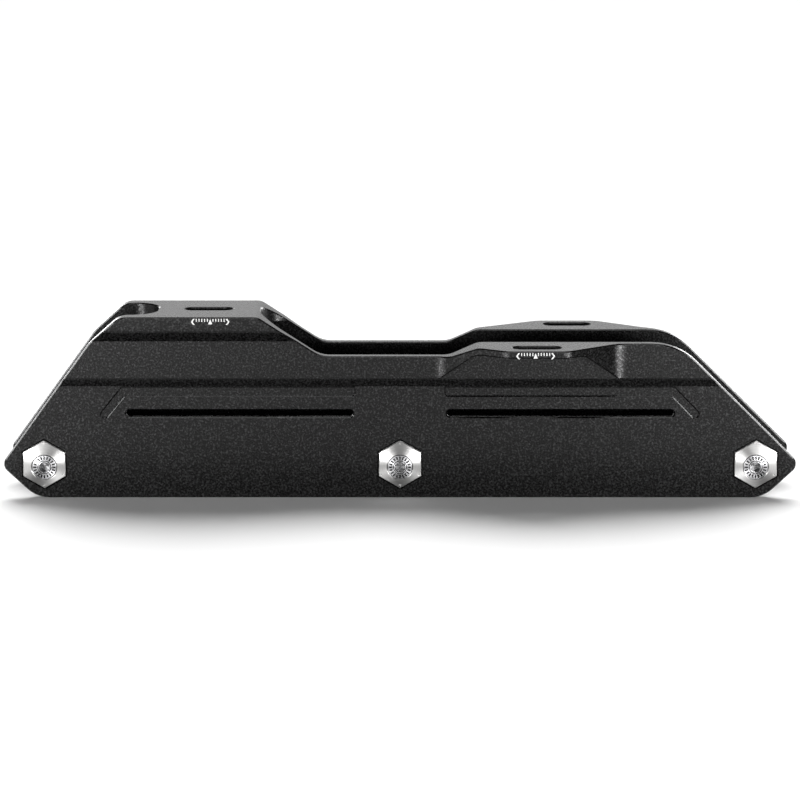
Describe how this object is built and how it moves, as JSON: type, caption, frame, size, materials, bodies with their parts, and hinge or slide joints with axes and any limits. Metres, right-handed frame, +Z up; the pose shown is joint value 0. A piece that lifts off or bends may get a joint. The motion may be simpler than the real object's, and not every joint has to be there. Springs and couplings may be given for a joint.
{
  "type": "inline skate frame",
  "caption": "Black milled aluminium inline skate frame with a raised rear deck, winged front pads, and screw axles in eccentric hexagonal inserts.",
  "frame": {"origin": "middle of the frame's length and width, at the height of its lower edges", "axes": "+X from heel to toe, +Y from the outer to the inner side of a right skate, +Z up"},
  "size_m": [0.3228, 0.066, 0.0755],
  "materials": {
    "black_coat": "black coat with a fine matt grain",
    "insert_metal": "turned bright",
    "axle_steel": "bright"
  },
  "bodies": {
    "frame": {"frame_body": "black_coat"},
    "rear_outer_insert": {"rear_outer_insert": "insert_metal"},
    "rear_axle": {"rear_axle": "axle_steel"},
    "rear_inner_insert": {"rear_inner_insert": "insert_metal"},
    "middle_outer_insert": {"middle_outer_insert": "insert_metal"},
    "middle_axle": {"middle_axle": "axle_steel"},
    "middle_inner_insert": {"middle_inner_insert": "insert_metal"},
    "front_outer_insert": {"front_outer_insert": "insert_metal"},
    "front_axle": {"front_axle": "axle_steel"},
    "front_inner_insert": {"front_inner_insert": "insert_metal"}
  },
  "joints": [
    {"name": "rear_axle_draw", "type": "slide", "parent": "frame", "child": "rear_outer_insert", "axis": [0, -1, 0], "range_m": [0, 0.036]},
    {"name": "rear_axle_turn", "type": "hinge", "parent": "rear_outer_insert", "child": "rear_axle", "pos_m": [-0.145, 0, 0.01275], "axis": [0, -1, 0], "range_deg": [0, 1440]},
    {"name": "rear_nut_travel", "type": "slide", "parent": "frame", "child": "rear_inner_insert", "axis": [0, 1, 0], "range_m": [0, 0.004]},
    {"name": "middle_axle_draw", "type": "slide", "parent": "frame", "child": "middle_outer_insert", "axis": [0, -1, 0], "range_m": [0, 0.036]},
    {"name": "middle_axle_turn", "type": "hinge", "parent": "middle_outer_insert", "child": "middle_axle", "pos_m": [0, 0, 0.01275], "axis": [0, -1, 0], "range_deg": [0, 1440]},
    {"name": "middle_nut_travel", "type": "slide", "parent": "frame", "child": "middle_inner_insert", "axis": [0, 1, 0], "range_m": [0, 0.004]},
    {"name": "front_axle_draw", "type": "slide", "parent": "frame", "child": "front_outer_insert", "axis": [0, -1, 0], "range_m": [0, 0.036]},
    {"name": "front_axle_turn", "type": "hinge", "parent": "front_outer_insert", "child": "front_axle", "pos_m": [0.145, 0, 0.01275], "axis": [0, -1, 0], "range_deg": [0, 1440]},
    {"name": "front_nut_travel", "type": "slide", "parent": "frame", "child": "front_inner_insert", "axis": [0, 1, 0], "range_m": [0, 0.004]}
  ],
  "couplings": [
    {"joint": "rear_nut_travel", "follows": "rear_axle_turn", "m_per_rad": 0.00015915},
    {"joint": "middle_nut_travel", "follows": "middle_axle_turn", "m_per_rad": 0.00015915},
    {"joint": "front_nut_travel", "follows": "front_axle_turn", "m_per_rad": 0.00015915}
  ]
}
